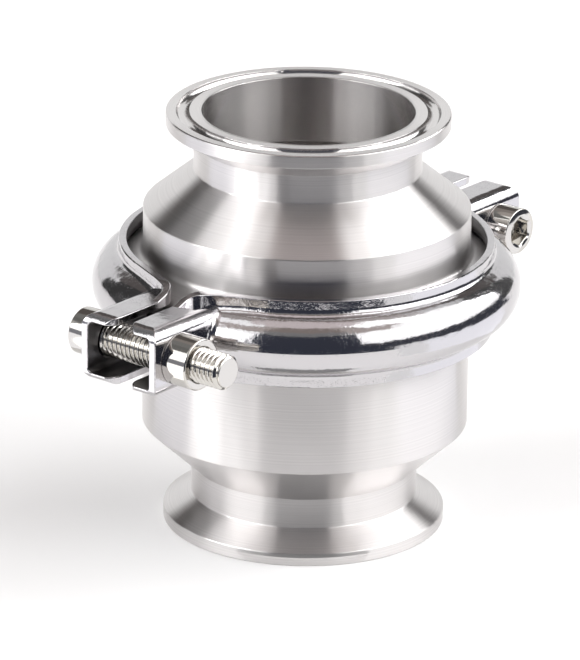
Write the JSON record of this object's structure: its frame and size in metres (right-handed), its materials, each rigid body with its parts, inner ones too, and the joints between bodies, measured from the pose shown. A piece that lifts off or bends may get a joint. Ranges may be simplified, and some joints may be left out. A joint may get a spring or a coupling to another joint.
{
  "type": "non-return valve",
  "caption": "Spring-loaded non-return valve of turned stainless steel: coned body halves with clamp ferrules at both ends, held by a pressed two-bolt clamp ring.",
  "frame": {"origin": "centre of the inlet ferrule's face, which is the surface that the valve stands on", "axes": "+Z along the valve's axis from inlet to outlet, in the flow's direction; the clamp splits at the plane Y = 0 and its ears lie at -X and +X"},
  "size_m": [0.131, 0.097, 0.097],
  "materials": {
    "body_steel": "fine turned stainless steel",
    "clamp_steel": "polished pressed stainless steel",
    "fastener_steel": "bright stainless fastener",
    "stem_steel": "ground bar",
    "spring_steel": "drawn spring wire",
    "gasket_rubber": "smooth moulded rubber",
    "seal_rubber": "smooth moulded rubber",
    "bush_plastic": "machined white plastic"
  },
  "bodies": {
    "valve_body": {"inlet_body": "body_steel", "outlet_body": "body_steel", "body_gasket": "gasket_rubber", "guide_spider": "body_steel", "guide_bush": "bush_plastic", "return_spring": "spring_steel"},
    "plug": {"plug_disc": "body_steel", "plug_seal": "seal_rubber", "plug_stem": "stem_steel"},
    "front_clamp": {"clamp_front_half": "clamp_steel", "nut_left": "fastener_steel"},
    "rear_clamp": {"clamp_rear_half": "clamp_steel", "nut_right": "fastener_steel"},
    "right_bolt": {"bolt_right": "fastener_steel"},
    "left_bolt": {"bolt_left": "fastener_steel"}
  },
  "joints": [
    {"name": "plug_lift", "type": "slide", "parent": "valve_body", "child": "plug", "axis": [0, 0, 1], "range_m": [0, 0.012], "stiffness_N_per_m": 890, "springref_m": -0.012, "deforming": ["return_spring"]},
    {"name": "front_clamp_opening", "type": "slide", "parent": "valve_body", "child": "front_clamp", "axis": [0, -1, 0], "range_m": [0, 0.006]},
    {"name": "rear_clamp_opening", "type": "slide", "parent": "valve_body", "child": "rear_clamp", "axis": [0, 1, 0], "range_m": [0, 0.006]},
    {"name": "right_bolt_turn", "type": "hinge", "parent": "front_clamp", "child": "right_bolt", "pos_m": [0.0575, -0.0106, 0.05685], "axis": [0, -1, 0], "range_deg": [0, 3457]},
    {"name": "left_bolt_turn", "type": "hinge", "parent": "rear_clamp", "child": "left_bolt", "pos_m": [-0.0575, 0.0106, 0.05685], "axis": [0, 1, 0], "range_deg": [0, 3457]}
  ],
  "couplings": [
    {"joint": "rear_clamp_opening", "follows": "front_clamp_opening", "ratio": 1},
    {"joint": "right_bolt_turn", "follows": "front_clamp_opening", "rad_per_m": 10053},
    {"joint": "left_bolt_turn", "follows": "front_clamp_opening", "rad_per_m": 10053}
  ]
}
